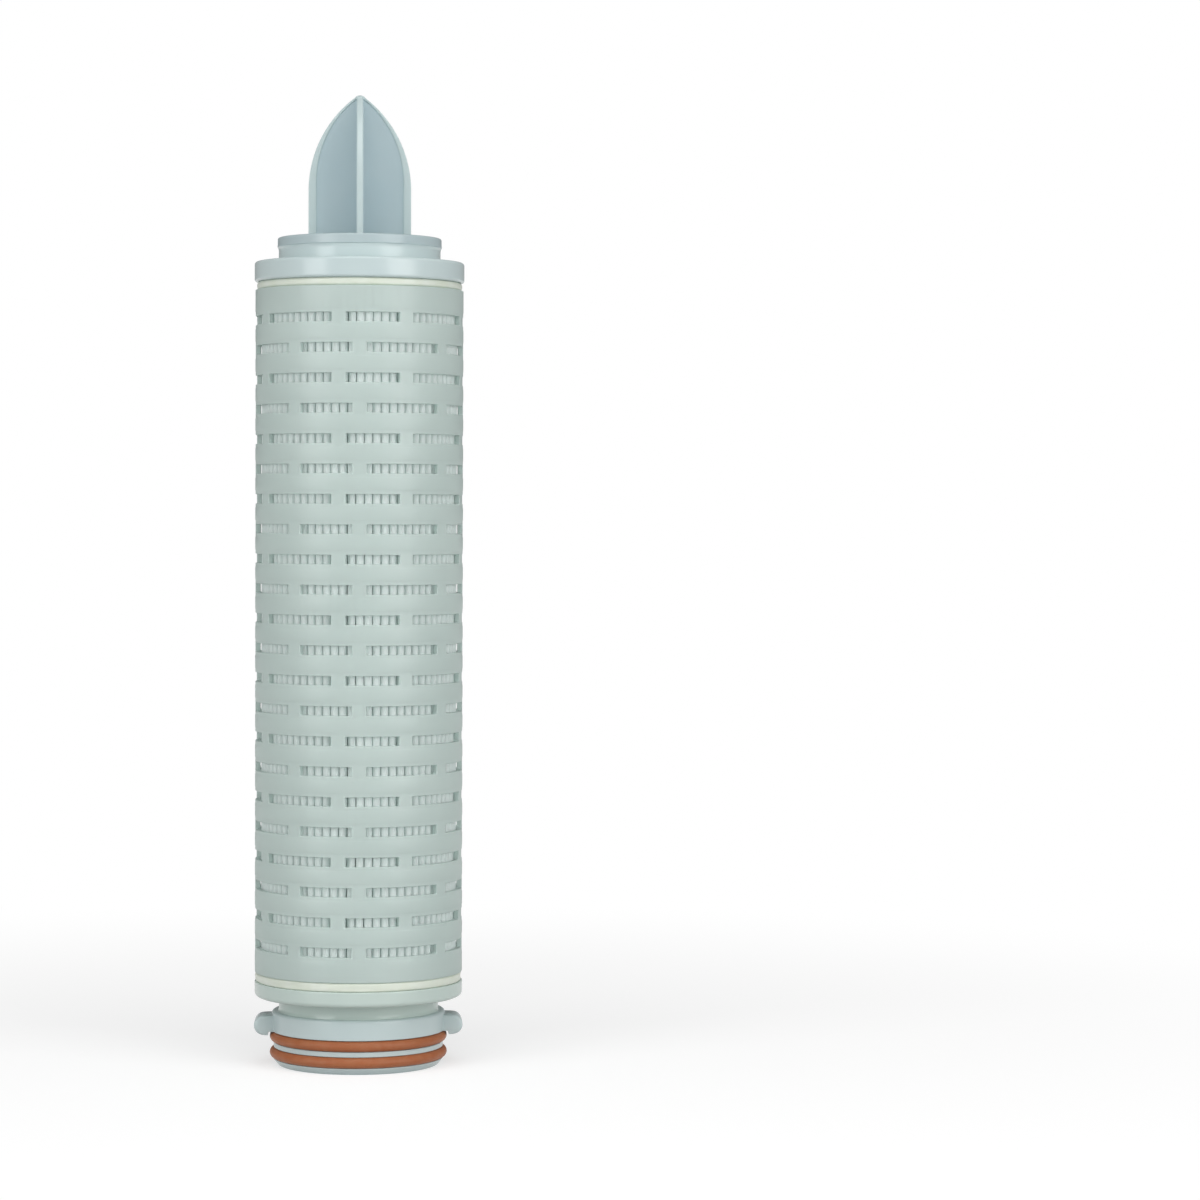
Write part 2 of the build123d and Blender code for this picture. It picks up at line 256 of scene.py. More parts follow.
# Sheet media: nonwoven fibres or a cast membrane. Matt, bright, and the light
# that falls on one fold also comes through the next.
def mediaSheet(name, look):
    material, tree = newMaterial(name)
    place = addNode(tree, "ShaderNodeTexCoord").outputs["Object"]
    stretch = addNode(tree, "ShaderNodeMapping", {"Scale": (1.0, 1.0, 0.45)}, {"Vector": place})
    fibres = addNode(tree, "ShaderNodeTexNoise", {
        "Scale": perSize(look["fibreSize"]), "Detail": 6.0, "Roughness": 0.65,
    }, {"Vector": stretch.outputs["Vector"]})
    tint = addNode(tree, "ShaderNodeValToRGB", links={"Fac": fibres.outputs["Fac"]})
    tint.color_ramp.elements[0].position = 0.3
    tint.color_ramp.elements[0].color = hexColour(look["shadeColour"])
    tint.color_ramp.elements[1].position = 0.65
    tint.color_ramp.elements[1].color = hexColour(look["colour"])
    normal = bumpOf(tree, fibres.outputs["Fac"], look["fibreDepth"])
    front = addNode(tree, "ShaderNodeBsdfPrincipled", {
        "Roughness": look["roughness"], "IOR": 1.49, "Specular IOR Level": 0.3, "Sheen Weight": 0.1,
    }, {"Base Color": tint.outputs["Color"], "Normal": normal})
    through = addNode(tree, "ShaderNodeBsdfTranslucent", links={"Color": tint.outputs["Color"], "Normal": normal})
    mixed = addNode(tree, "ShaderNodeMixShader", {0: look["through"]}, {1: front.outputs["BSDF"], 2: through.outputs["BSDF"]})
    addNode(tree, "ShaderNodeOutputMaterial", links={"Surface": mixed.outputs["Shader"]})
    return material


# Moulded silicone rubber: even brick red, satin, with a dusty bloom
def mouldedSilicone(name, look):
    material, tree = newMaterial(name)
    place = addNode(tree, "ShaderNodeTexCoord").outputs["Object"]
    bloom = addNode(tree, "ShaderNodeTexNoise", {"Scale": perSize(3.0), "Detail": 5.0}, {"Vector": place})
    tint = addNode(tree, "ShaderNodeValToRGB", links={"Fac": bloom.outputs["Fac"]})
    tint.color_ramp.elements[0].position = 0.35
    tint.color_ramp.elements[0].color = hexColour(look["colour"])
    tint.color_ramp.elements[1].position = 0.75
    tint.color_ramp.elements[1].color = hexColour(look["bloomColour"])
    skin = addNode(tree, "ShaderNodeTexNoise", {"Scale": perSize(0.25), "Detail": 3.0}, {"Vector": place})
    surface = addNode(tree, "ShaderNodeBsdfPrincipled", {
        "Roughness": look["roughness"], "IOR": 1.41, "Subsurface Weight": 0.15,
        "Subsurface Radius": (1.0, 0.4, 0.2), "Subsurface Scale": 0.6 * mm,
    }, {"Base Color": tint.outputs["Color"], "Normal": bumpOf(tree, skin.outputs["Fac"], 0.01)})
    addNode(tree, "ShaderNodeOutputMaterial", links={"Surface": surface.outputs["BSDF"]})
    return material


# Stainless tube turned on a lathe: fine rings round the axis
def turnedStainless(name):
    material, tree = newMaterial(name)
    place = addNode(tree, "ShaderNodeTexCoord").outputs["Object"]
    squash = addNode(tree, "ShaderNodeMapping", {"Scale": (0.02, 0.02, 1.0)}, {"Vector": place})
    rings = addNode(tree, "ShaderNodeTexNoise", {"Scale": perSize(0.2), "Detail": 4.0}, {"Vector": squash.outputs["Vector"]})
    surface = addNode(tree, "ShaderNodeBsdfPrincipled", {
        "Base Color": hexColour("#cdccca"), "Metallic": 1.0, "Roughness": 0.32, "Anisotropic": 0.5,
    }, {"Normal": bumpOf(tree, rings.outputs["Fac"], 0.01)})
    addNode(tree, "ShaderNodeOutputMaterial", links={"Surface": surface.outputs["BSDF"]})
    return material


cageLook = {
    "colour": "#e1eeea", "cloudColour": "#dbe9e5", "cloudSize": 30.0, "grainSize": 0.5, "grainDepth": 0.006,
    "roughness": 0.35, "clear": 0.1, "milky": 0.25, "sheer": 0.15, "bore": 32.7,
}
capLook = {
    "colour": "#cedddd", "cloudColour": "#c8d8d9", "cloudSize": 22.0, "grainSize": 0.6, "grainDepth": 0.004,
    "roughness": 0.22, "clear": 0.05, "milky": 0.06, "sheer": 0.0,
}
# The bottom cap's colour: a little darker and greener than the top cap's colour
lowCapLook = {
    "colour": "#ccdbd4", "cloudColour": "#c6d6d0", "cloudSize": 22.0, "grainSize": 0.6, "grainDepth": 0.004,
    "roughness": 0.22, "clear": 0.05, "milky": 0.06, "sheer": 0.0,
}
finLook = {
    "colour": "#cfdfe3", "cloudColour": "#c9dbe0", "thickColour": "#d9e7e7", "cloudSize": 25.0,
    "grainSize": 0.5, "grainDepth": 0.004, "roughness": 0.22, "clear": 0.08, "milky": 0.3, "sheer": 0.0,
}
fusedLook = {
    "colour": "#ebf2e7", "cloudColour": "#e4ecdc", "cloudSize": 6.0, "grainSize": 0.8, "grainDepth": 0.02,
    "roughness": 0.35, "clear": 0.05, "milky": 0.08, "sheer": 0.0,
}
fleeceLook = {
    "colour": "#fafefd", "shadeColour": "#f5fbfa", "fibreSize": 0.35,
    "fibreDepth": 0.015, "roughness": 0.85, "through": 0.4,
}
membraneLook = {
    "colour": "#fcfdfd", "shadeColour": "#f8fafa", "fibreSize": 0.15,
    "fibreDepth": 0.004, "roughness": 0.6, "through": 0.45,
}
sealLook = {"colour": "#a4603a", "bloomColour": "#aa6a46", "roughness": 0.5}

cagePlastic = mouldedPolypropylene("Natural polypropylene, moulded", cageLook)
capPlastic = mouldedPolypropylene("Natural polypropylene, moulded and butt welded", capLook)
lowCapPlastic = mouldedPolypropylene("Natural polypropylene, moulded, beside the weld", lowCapLook)
finPlastic = mouldedPolypropylene("Natural polypropylene, thin-wall moulded", finLook)
fusedPlastic = mouldedPolypropylene("Natural polypropylene, melted and re-set", fusedLook)
fleece = mediaSheet("Polypropylene fleece, spunbonded and pleated", fleeceLook)
membrane = mediaSheet("Polyethersulfone membrane, cast", membraneLook)
rubber = mouldedSilicone("Silicone rubber, moulded", sealLook)
steel = turnedStainless("Stainless steel, turned")
print("materials made")


# Places shared by the pieces, read from the frame

def nodeBox(node):
    low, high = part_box(node)
    return low, high


adapterLow, adapterHigh = nodeBox("spigot_adapter")
capLow, capHigh = nodeBox("bottom_end_cap")
cageLow, cageHigh = nodeBox("outer_cage")
topLow, topHigh = nodeBox("top_end_cap")
finLow, finHigh = nodeBox("locating_fin")
coreHigh = nodeBox("inner_core")[1]
cageRadius = cageHigh.x


# Outer cage

cage = {
    "wall": 1.8, "edgeRound": 0.35,
    "slotHeight": 3.0, "slotPitch": 9.83, "topMargin": 10.2, "bottomMargin": 9.0,
    "pairs": 4, "ribAngle": 8.0, "narrowAngle": 30.0, "firstRing": -82.5, "secondRing": -109.0,
    "columnAngle": 3.0, "reliefDepth": 0.1, "reliefHalfHeight": 2.6, "reliefSlope": 0.5,
    "slotBevel": 0.22,
}


def slotSpans(middle):
    period = 360 / cage["pairs"]
    wideAngle = period - cage["narrowAngle"] - 2 * cage["ribAngle"]
    spans = []
    for pair in range(cage["pairs"]):
        turn = pair * period
        spans.append((middle + turn, cage["narrowAngle"]))
        spans.append((middle + turn + period / 2, wideAngle))
    return [((m - size / 2) % 360, size) for m, size in spans]


def buildCage():
    top, bottom = cageHigh.z / mm, cageLow.z / mm
    radius, wall = cageRadius / mm, cage["wall"]
    firstZ = top - cage["topMargin"]
    rows = int((top - bottom - cage["topMargin"] - cage["bottomMargin"]) / cage["slotPitch"]) + 1
    levels = [firstZ - row * cage["slotPitch"] for row in range(rows)]
    rings = [slotSpans(cage["firstRing"]), slotSpans(cage["secondRing"])]

    edges = {round(a, 6) for ring in rings for start, size in ring for a in (start, (start + size) % 360)}
    columns = set(edges)
    for step in range(round(360 / cage["columnAngle"])):
        angle = step * cage["columnAngle"]
        gap = min(min((angle - e) % 360, (e - angle) % 360) for e in edges)
        if gap > 0.8:
            columns.add(angle)
    columns = sorted(columns)

    half = cage["slotHeight"] / 2
    inner, outer = cage["reliefHalfHeight"], cage["reliefHalfHeight"] + cage["reliefSlope"]
    middle = (inner + outer) / 2
    heights = {bottom, bottom + 0.5, top - 0.5, top}
    for level in levels:
        for offset in (half, inner, middle, outer):
            heights |= {level - offset, level + offset}
        heights.add(level - cage["slotPitch"] / 2)
    heights = sorted(z for z in heights if bottom <= z <= top)

    # The wall is a little lower in a band round each ring of slots
    def relief(z):
        nearest = min(abs(z - level) for level in levels)
        return cage["reliefDepth"] * (1 - smoothStep(inner, outer, nearest))

    def isOpen(angle, z):
        for row, level in enumerate(levels):
            if abs(z - level) < half:
                return any((angle - start) % 360 < size for start, size in rings[row % 2])
        return False

    nCol, nRow = len(columns), len(heights)
    vertices = []
    for face in (0, 1):
        for z in heights:
            r = radius - relief(z) if face == 0 else radius - wall
            for angle in columns:
                a = math.radians(angle)
                vertices.append((r * math.cos(a) * mm, r * math.sin(a) * mm, z * mm))

    def at(face, row, column):
        return (face * nRow + row) * nCol + column % nCol

    openCell = []
    for row in range(nRow - 1):
        z = (heights[row] + heights[row + 1]) / 2
        line = []
        for column in range(nCol):
            end = columns[(column + 1) % nCol] + (360 if column == nCol - 1 else 0)
            line.append(isOpen((columns[column] + end) / 2, z))
        openCell.append(line)

    faces = []
    for row in range(nRow - 1):
        for column in range(nCol):
            if openCell[row][column]:
                continue
            corners = [(row, column), (row, column + 1), (row + 1, column + 1), (row + 1, column)]
            faces.append([at(0, r, c) for r, c in corners])
            faces.append([at(1, r, c) for r, c in reversed(corners)])
            sides = [
                (row == 0 or openCell[row - 1][column], corners[0], corners[1]),
                (openCell[row][(column + 1) % nCol], corners[1], corners[2]),
                (row == nRow - 2 or openCell[row + 1][column], corners[2], corners[3]),
                (openCell[row][column - 1], corners[3], corners[0]),
            ]
            for shown, a, b in sides:
                if shown:
                    faces.append([at(0, *b), at(0, *a), at(1, *a), at(1, *b)])
    obj = newObject("outer_cage_shell", vertices, faces)
    bevel = obj.modifiers.new("slot edges", "BEVEL")
    bevel.width = cage["slotBevel"] * mm
    bevel.segments = 2
    bevel.limit_method = "ANGLE"
    bevel.angle_limit = math.radians(50)
    bevel.use_clamp_overlap = True
    placePiece(obj, "outer_cage", cagePlastic)
    print("cage:", rows, "rings of slots,", len(faces), "faces")


buildCage()


# Pleated media

pleats = {
    "layers": (0.26, 0.14, 0.22), "valleyOpening": 0.08, "spacing": 0.22, "crestSpacing": 0.19, "crestFlat": 0.24,
    "crestAngle": -89.5, "crestRadius": 32.4, "valleyRadius": 17.7, "rows": 24, "rollSteps": 8,
    "lean": 0.3, "leanLength": 45.0, "dip": 0.1, "dipLength": 25.0,
}


def buildFleece():
    pack = sum(pleats["layers"])
    crest, valley = pleats["crestRadius"], pleats["valleyRadius"]
    valleyWidth = 2 * pack + pleats["valleyOpening"]
    count = int(2 * math.pi * valley / (valleyWidth + pleats["spacing"]))
    halfPitch = math.pi / count
    crestOpening = 2 * halfPitch * crest - 2 * pack - pleats["crestSpacing"]
    crestRoll = (crestOpening - pleats["crestFlat"]) / 2 + pack
    crestSide = (pack + crestOpening) / 2
    valleySide = (pack + pleats["valleyOpening"]) / 2
    end = (
        valley * math.cos(halfPitch) + valleySide * math.sin(halfPitch),
        valley * math.sin(halfPitch) - valleySide * math.cos(halfPitch),
    )
    run = (end[0] - crest, end[1] - crestSide)
    length = math.hypot(*run)
    normal = (run[1] / length, -run[0] / length)

    # Half a pleat on one side of the crest, at an offset from the middle surface
    def halfPleat(offset):
        line = (crest + offset * normal[0], crestSide + offset * normal[1])
        slope = math.cos(halfPitch) * run[0] + math.sin(halfPitch) * run[1]
        level = math.cos(halfPitch) * line[0] + math.sin(halfPitch) * line[1]
        step = (valley + pack / 2 + offset - level) / slope
        root = Vector((line[0] + step * run[0], line[1] + step * run[1]))
        roll = crestRoll - pack / 2 + offset
        centreR = crest - crestRoll
        centreT = crestSide + (pack / 2 - crestRoll + crestRoll * normal[0]) / normal[1]
        points = []
        for k in range(pleats["rollSteps"] + 1):
            a = math.atan2(normal[1], normal[0]) * k / pleats["rollSteps"]
            points.append(Vector((centreR + roll * math.cos(a), centreT + roll * math.sin(a))))
        shoulder = points[-1]
        points += [shoulder.lerp(root, share) for share in (0.1, 0.3, 0.65, 1.0)]
        return points

    half = [halfPleat(pack / 2), halfPleat(pack / 2 - pleats["layers"][0] + 0.01)]
    sides = [[(p.x, -p.y) for p in reversed(line)] + [(p.x, p.y) for p in line] for line in half]
    n = len(sides[0])

    low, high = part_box("outer_support_fleece")
    rows = pleats["rows"]
    vertices = []
    for side in sides:
        for row in range(rows + 1):
            z = low.z + (high.z - low.z) * row / rows
            for pleat in range(count):
                middle = math.radians(pleats["crestAngle"]) + 2 * halfPitch * pleat
                # Folds lean together in groups, and some crests stand a little lower
                lean = pleats["lean"] * ringNoise(middle, z / mm, 16, 1 / pleats["leanLength"], 3.3)
                dip = pleats["dip"] * abs(ringNoise(middle, z / mm, 70, 1 / pleats["dipLength"], 8.1))
                c, s = math.cos(middle), math.sin(middle)
                for r, t in side:
                    share = max(0.0, (r - valley) / (crest - valley))
                    r, t = r - dip * share ** 3, t + lean * share
                    vertices.append(((r * c - t * s) * mm, (r * s + t * c) * mm, z))
    ring = n * count
    level = ring * (rows + 1)
    last = rows * ring
    faces = []
    for row in range(rows):
        for k in range(ring):
            a, b = row * ring + k, row * ring + (k + 1) % ring
            faces.append((a, b, b + ring, a + ring))
            faces.append((level + b, level + a, level + a + ring, level + b + ring))
    for k in range(ring):
        nextK = (k + 1) % ring
        faces.append((k, level + k, level + nextK, nextK))
        faces.append((last + nextK, level + last + nextK, level + last + k, last + k))
    obj = newObject("pleated_outer_fleece", vertices, faces, smoothAngle=60)
    placePiece(obj, "outer_support_fleece", fleece)


buildFleece()


# Fused polypropylene at both ends of the pleats

seals = {"bottomInset": 0.25, "topInset": 0.6, "coreBore": 14.5, "bevel": 0.7}


def buildSeals():
    bore = seals["coreBore"] * mm
    low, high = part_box("bottom_weld_seal")
    rim = high.x

    # The melt was squeezed out unevenly: lumps, and one shallow gap on the right
    def squeezed(angle, r, z):
        if r < rim - 2 * mm:
            return 0.0, 0.0
        edge = bell(z, (low.z + high.z) / 2, 0.9 * mm)
        lumps = 0.35 * ringNoise(angle, z / mm, 26, 0.5, 1.3) + 0.3 * ringNoise(angle, z / mm, 9, 0.2, 5.1)
        gap = bell(math.degrees(angle) - 3, 0, 5) + bell(math.degrees(angle) - 363, 0, 5)
        return (lumps * edge - 0.5 * gap * edge) * mm, 0.0

    corners = [(bore, low.z, 0), (rim, low.z, 0.7 * mm), (rim, high.z, 0.7 * mm), (bore, high.z, 0)]
    obj = turnedPiece("bottom_fused_ring", corners, columns=288, longest=0.6 * mm, wobble=squeezed)
    placePiece(obj, "bottom_weld_seal", fusedPlastic)

    low2, high2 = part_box("top_weld_seal")
    rim2 = high2.x

    def bead(angle, r, z):
        if r < rim2 - 2 * mm:
            return 0.0, 0.0
        lumps = 0.2 * ringNoise(angle, z / mm, 22, 0.5, 2.7) + 0.15 * ringNoise(angle, z / mm, 7, 0.2, 9.4)
        return lumps * bell(z, (low2.z + high2.z) / 2, 0.9 * mm) * mm, 0.0

    corners = [(0, low2.z, 0), (rim2, low2.z, 0.9 * mm), (rim2, high2.z, 0.9 * mm), (0, high2.z, 0)]
    obj = turnedPiece("top_fused_disc", corners, columns=288, longest=0.6 * mm, closed=False, wobble=bead)
    placePiece(obj, "top_weld_seal", fusedPlastic)
    print("fused ends made")


buildSeals()


# Bottom end cap

bottomCap = {"bore": 21.0, "webBore": 14.5, "web": 4.0, "neckRadius": 26.5, "flangeHeight": 5.1, "flangeRound": 1.4}


def buildBottomCap():
    low, high = capLow, capHigh
    flange = high.x
    bore, webBore = bottomCap["bore"] * mm, bottomCap["webBore"] * mm
    neck = bottomCap["neckRadius"] * mm
    flangeZ = high.z - bottomCap["flangeHeight"] * mm
    webZ = high.z - bottomCap["web"] * mm

    # Weld flash where the neck meets the adapter, and a faint bulge at the root
    def flash(angle, r, z):
        if r < neck - 0.5 * mm or r > neck + 1.0 * mm:
            return 0.0, 0.0
        size = 0.32 + 0.25 * ringNoise(angle, 0, 30, 1, 4.2)
        return size * bell(z, low.z, 0.45 * mm) * mm, 0.0

    corners = [
        (webBore, high.z, 0.3 * mm),
        (flange, high.z, 0.35 * mm),
        (flange, flangeZ, bottomCap["flangeRound"] * mm),
        (neck, flangeZ, 0.5 * mm),
        (neck, low.z, 0),
        (bore, low.z, 0),
        (bore, webZ, 0.3 * mm),
        (webBore, webZ, 0.3 * mm),
    ]
    obj = turnedPiece("bottom_end_cap_moulding", corners, columns=240, longest=0.5 * mm, wobble=flash)
    placePiece(obj, "bottom_end_cap", lowCapPlastic)
    print("bottom end cap made")


buildBottomCap()


# Spigot adapter with its bayonet lugs

adapter = {
    "landRadius": 28.2, "grooveRadius": 25.95, "collarRadius": 28.8,
    "endLand": 2.2, "groove": 3.7, "middleLand": 1.7, "taperHeight": 1.9, "taperDepth": 1.6,
    "bore": 21.0, "leadIn": 0.6, "ringInner": 22.6, "ringOuter": 24.2, "ringFloor": 2.95,
    "collarRound": 0.9, "landRound": 0.2,
    "lugHeight": 6.4, "lugWidth": 12.0, "lugDrop": 1.1, "lugCorner": 2.4, "lugEdge": 1.0, "lugRelief": 29.98,
}


# One tongue: a rounded slab whose outline is drawn in X and Z
def lugSolid(side):
    collarZ = (adapter["endLand"] + 2 * adapter["groove"] + adapter["middleLand"])
    lowZ = collarZ - adapter["lugDrop"]
    topZ = lowZ + adapter["lugHeight"]
    reach = adapterHigh.x / mm
    root = 25.0
    halfWidth = adapter["lugWidth"] / 2
    middleZ = (lowZ + topZ) / 2
    radius = adapter["lugHeight"] / 2
    work = bmesh.new()
    steps = 14
    outline = [(root, collarZ), (adapter["lugRelief"], collarZ), (adapter["lugRelief"], lowZ)]
    outline += [
        (reach - radius + radius * math.sin(math.pi * k / steps), middleZ - radius * math.cos(math.pi * k / steps))
        for k in range(steps + 1)
    ]
    outline += [(root, topZ)]
    back = [work.verts.new((side * x * mm, -halfWidth * mm, z * mm)) for x, z in outline]
    front = [work.verts.new((side * x * mm, halfWidth * mm, z * mm)) for x, z in outline]
    work.faces.new(back)
    work.faces.new(list(reversed(front)))
    n = len(outline)
    for k in range(n):
        work.faces.new([back[k], front[k], front[(k + 1) % n], back[(k + 1) % n]])
    bmesh.ops.recalc_face_normals(work, faces=work.faces)
    # The nose's side edges get the moulding's round
    nose = [
        e for e in work.edges
        if abs(e.verts[0].co.y) > (halfWidth - 0.1) * mm and e.verts[0].co.y * e.verts[1].co.y > 0
        and min(abs(v.co.x) for v in e.verts) > (reach - radius - 0.5) * mm
    ]
    bmesh.ops.bevel(work, geom=nose, offset=adapter["lugEdge"] * mm, segments=4, profile=0.5, affect="EDGES")
    mesh = bpy.data.meshes.new("lug")
    work.to_mesh(mesh)
    work.free()
    lug = bpy.data.objects.new("lug", mesh)
    bpy.context.scene.collection.objects.link(lug)
    return lug


def buildAdapter():
    a = {name: value * mm for name, value in adapter.items()}
    topZ = adapterHigh.z
    lower = a["endLand"]
    upper = lower + a["groove"] + a["middleLand"]
    collarZ = upper + a["groove"]
    land, groove = a["landRadius"], a["grooveRadius"]
    edge = a["landRound"]

    corners = [
        (a["bore"], a["leadIn"], 0),
        (a["bore"] + a["leadIn"], 0, 0),
        (land - a["taperDepth"], 0, 0.4 * mm),
        (land, a["taperHeight"], 0.15 * mm),
        (land, lower, edge * 0.7),
        (groove, lower, 0.3 * mm),
        (groove, lower + a["groove"], 0.3 * mm),
        (land, lower + a["groove"], edge),
        (land, upper, edge),
        (groove, upper, 0.3 * mm),
        (groove, collarZ, 0.3 * mm),
        (a["collarRadius"], collarZ, 0.3 * mm),
        (a["collarRadius"], topZ, a["collarRound"]),
        (a["ringOuter"], topZ, 0),
        (a["ringOuter"], a["ringFloor"], 0),
        (a["ringInner"], a["ringFloor"], 0),
        (a["ringInner"], topZ, 0),
        (a["bore"], topZ, 0),
    ]
    obj = turnedPiece("spigot_adapter_moulding", corners, columns=240, longest=2.0 * mm)
    for side in (1, -1):
        joinSolid(obj, lugSolid(side))
    placePiece(obj, "spigot_adapter", capPlastic)
    print("adapter made")


buildAdapter()


# O-rings, with the fine line where the mould's halves met

oRing = {"section": 3.53, "lineWidth": 0.12, "lineHeight": 0.03, "around": 240, "across": 48}


def buildORing(node, name):
    low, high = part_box(node)
    tube = (high.z - low.z) / 2
    middleR = high.x - tube
    middleZ = (low.z + high.z) / 2
    around, across = oRing["around"], oRing["across"]
    vertices, faces = [], []
    for i in range(around):
        a = 2 * math.pi * i / around
        for k in range(across):
            b = 2 * math.pi * k / across
            away = min(b, 2 * math.pi - b) * tube / mm
            line = oRing["lineHeight"] * bell(away, 0, oRing["lineWidth"]) * mm
            r = middleR + (tube - 0.02 * mm + line) * math.cos(b)
            vertices.append((r * math.cos(a), r * math.sin(a), middleZ + tube * math.sin(b)))
            j, m = (i + 1) % around, (k + 1) % across
            faces.append((i * across + k, j * across + k, j * across + m, i * across + m))
    obj = newObject(name, vertices, faces)
    placePiece(obj, node, rubber)


buildORing("lower_o_ring", "lower_o_ring_moulding")
buildORing("upper_o_ring", "upper_o_ring_moulding")
print("O-rings made")


# Top end cap

topCap = {
    "flangeHeight": 6.7, "flangeRound": 0.9, "web": 4.0,
    "bossRadius": 26.8, "bossWall": 3.8,
}


def buildTopCap():
    low, high = topLow, topHigh
    flange = high.x
    flangeZ = low.z + topCap["flangeHeight"] * mm
    boss = topCap["bossRadius"] * mm
    recess = boss - topCap["bossWall"] * mm
    recessZ = low.z + topCap["web"] * mm

    # Soft flash under the fin's disc
    def flash(angle, r, z):
        if r < boss - 0.5 * mm or r > boss + 1.0 * mm:
            return 0.0, 0.0
        size = 0.3 + 0.3 * ringNoise(angle, 0, 24, 1, 7.7)
        return size * bell(z, high.z, 0.5 * mm) * mm, 0.0

    corners = [
        (0, low.z, 0),
        (flange, low.z, topCap["flangeRound"] * mm),
        (flange, flangeZ, topCap["flangeRound"] * mm),
        (boss, flangeZ, 0.4 * mm),
        (boss, high.z, 0),
        (recess, high.z, 0),
        (recess, recessZ, 0),
        (0, recessZ, 0),
    ]
    obj = turnedPiece("top_end_cap_moulding", corners, columns=240, longest=0.6 * mm, closed=False, wobble=flash)
    placePiece(obj, "top_end_cap", capPlastic)
    print("top end cap made")


buildTopCap()


# Locating fin: a disc and four wings, each with a rim around a thin web

fin = {
    "discHeight": 3.2, "discRound": 0.6, "spigotDepth": 2.0, "spigotRadius": 22.95, "spigotBore": 20.45,
    "height": 47.5, "width": 34.0, "shoulder": 15.8, "tipWidth": 3.4,
    "rimThickness": 2.0, "webThickness": 1.3, "rimWidth": 2.6, "rimNarrowing": 0.06, "tipRimWidth": 1.1,
    "discThickness": 0.35, "footFlare": 0.6, "rimFillet": 0.5, "crossFillet": 0.7, "edgeRound": 0.55,
}


# Half width of an upright outline at a height: straight up to the shoulder,
# then an arc to the blunt tip, then a low crown
def outlineReach(z, halfWidth, shoulderZ, endZ, halfTip):
    rise, run = endZ - shoulderZ, halfWidth - halfTip
    arc = (run ** 2 + rise ** 2) / (2 * run)
    crown = 1.25 * halfTip
    if z <= shoulderZ:
        return halfWidth
    if z <= endZ:
        return halfWidth - arc + math.sqrt(max(0.0, arc ** 2 - (z - shoulderZ) ** 2))
    return math.sqrt(max(0.0, crown ** 2 - (z - endZ + crown - halfTip / 2) ** 2))


